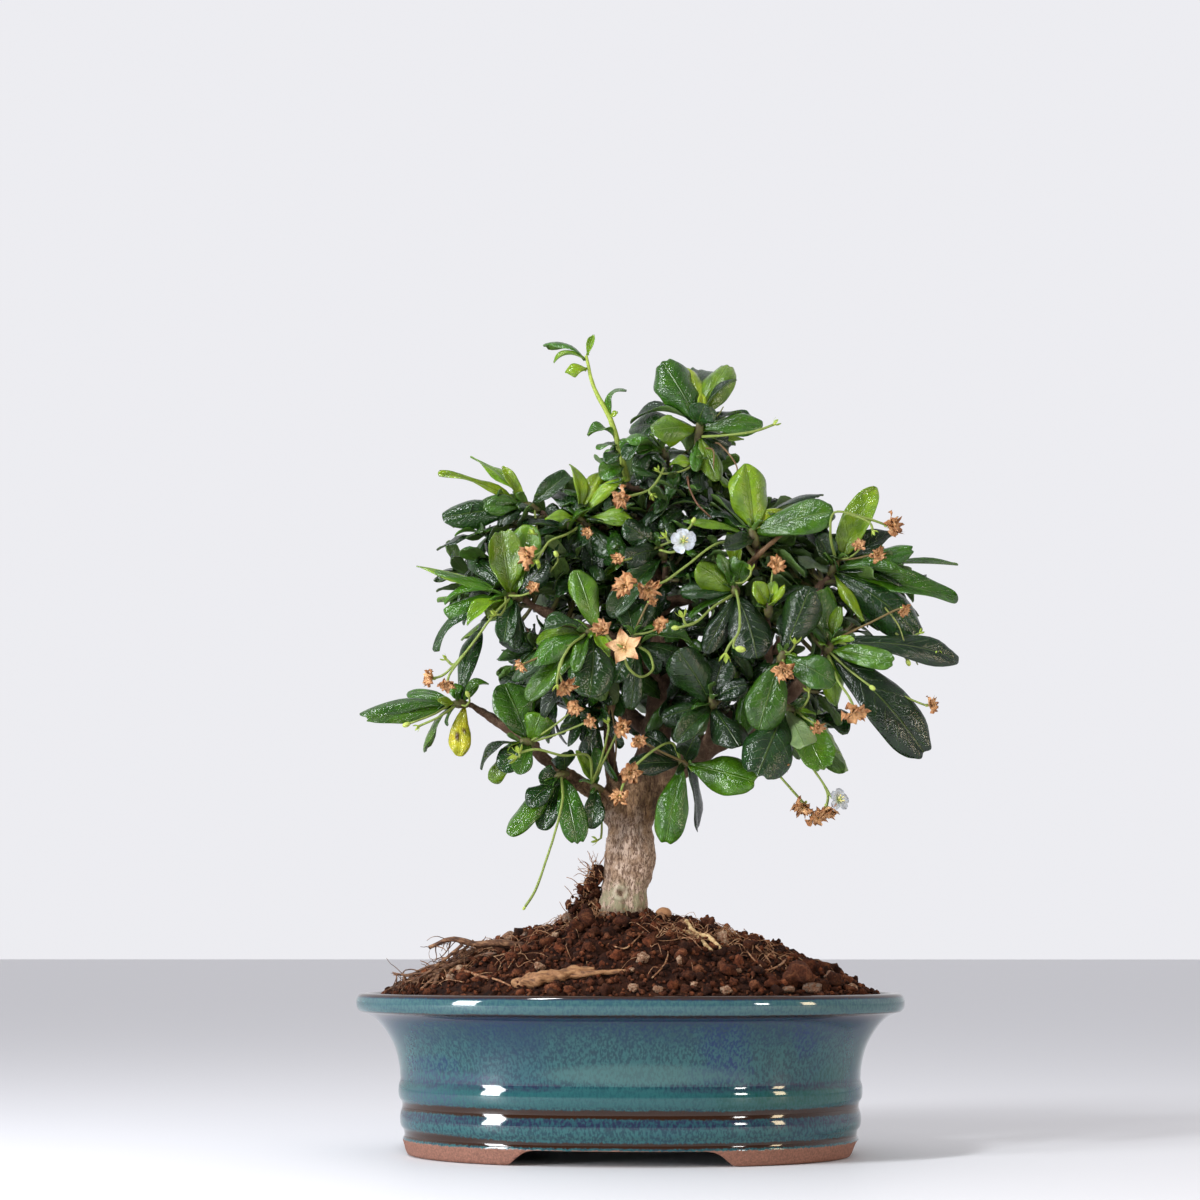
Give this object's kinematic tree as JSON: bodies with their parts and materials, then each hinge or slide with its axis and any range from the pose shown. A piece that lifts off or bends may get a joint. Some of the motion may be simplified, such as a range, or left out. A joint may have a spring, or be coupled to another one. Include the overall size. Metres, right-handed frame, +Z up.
{
  "type": "potted bonsai",
  "caption": "Fukien tea bonsai with leafy sprays and dried flowers, rooted in a mound of soil in a glazed oval pot on feet.",
  "frame": {"origin": "middle of the footprint of the whole plant and pot, on the surface that the pot stands on", "axes": "+Z up the tree, X along the pot's long axis with +X to the viewer's right from the front, -Y towards the front"},
  "size_m": [0.2226, 0.156, 0.3034],
  "materials": {
    "glaze": "glossy teal glaze with blue and purple runs, brown where it thins at the rim, belt and grooves, bare pinkish clay at the feet",
    "screen": "matt black plastic screen",
    "soil": "reddish brown granular mix with cream crumbs, matt and slightly damp",
    "pebble": "matt tan pebble",
    "bark": "pale grey tan bark with fine dark upright striations and some green lichen",
    "root_tan": "smooth tan root skin",
    "root_dark": "dark thin dry roots",
    "root_straw": "straw-coloured fibrous root",
    "leaf": "glossy leathery leaves from dark green to lime, with paler ribs and tiny white specks",
    "flower": "lime green stalks, calyces and buds, satin, with a white flower",
    "dried_flower": "papery tan dried flowers on thin green stalks, matt"
  },
  "bodies": {
    "root": {"pot": "glaze", "drain_mesh_left": "screen", "drain_mesh_right": "screen", "soil": "soil", "pebble": "pebble", "trunk": "bark", "surface_root": "root_tan", "root_tangle": "root_dark", "straw_root": "root_straw", "spray_top_shoot": "leaf", "spray_crown": "leaf", "spray_crown_left": "leaf", "spray_crown_right": "leaf", "spray_left_tip": "leaf", "spray_left_middle": "leaf", "spray_left_knob": "leaf", "spray_left_arm": "leaf", "spray_left_lower": "leaf", "spray_left_low": "leaf", "spray_trunk_left": "leaf", "spray_middle_left": "leaf", "spray_middle": "leaf", "spray_upper_middle": "leaf", "spray_right_upper": "leaf", "spray_right_inner": "leaf", "spray_right_centre": "leaf", "spray_right_low": "leaf", "spray_right_cup": "leaf", "spray_right_top": "leaf", "spray_centre_right": "leaf", "spray_right_bottom": "leaf", "spray_centre_low": "leaf", "spray_rear_left": "leaf", "spray_rear_low_left": "leaf", "spray_rear_upper_left": "leaf", "spray_rear_top": "leaf", "spray_rear_crown": "leaf", "spray_rear_middle": "leaf", "spray_rear_upper_right": "leaf", "spray_rear_right": "leaf", "spray_rear_low_right": "leaf", "spray_rear_low": "leaf", "cyme_star": "dried_flower", "cyme_dried_pair": "dried_flower", "cyme_white_flower": "flower", "cyme_green_pair": "flower", "cyme_curled": "flower", "cyme_right_top": "dried_flower", "cyme_crown": "flower", "cyme_hanging_dried": "dried_flower", "cyme_hanging_white": "dried_flower", "cyme_left_middle": "dried_flower", "cyme_upper_dried": "dried_flower", "cyme_left_dried": "dried_flower", "cyme_arm_buds": "flower", "cyme_lower_green": "flower", "cyme_bare_stalk": "dried_flower", "cyme_trunk_dried": "dried_flower", "cyme_left_hanging": "dried_flower", "cyme_right_dried": "dried_flower"}
  },
  "joints": []
}
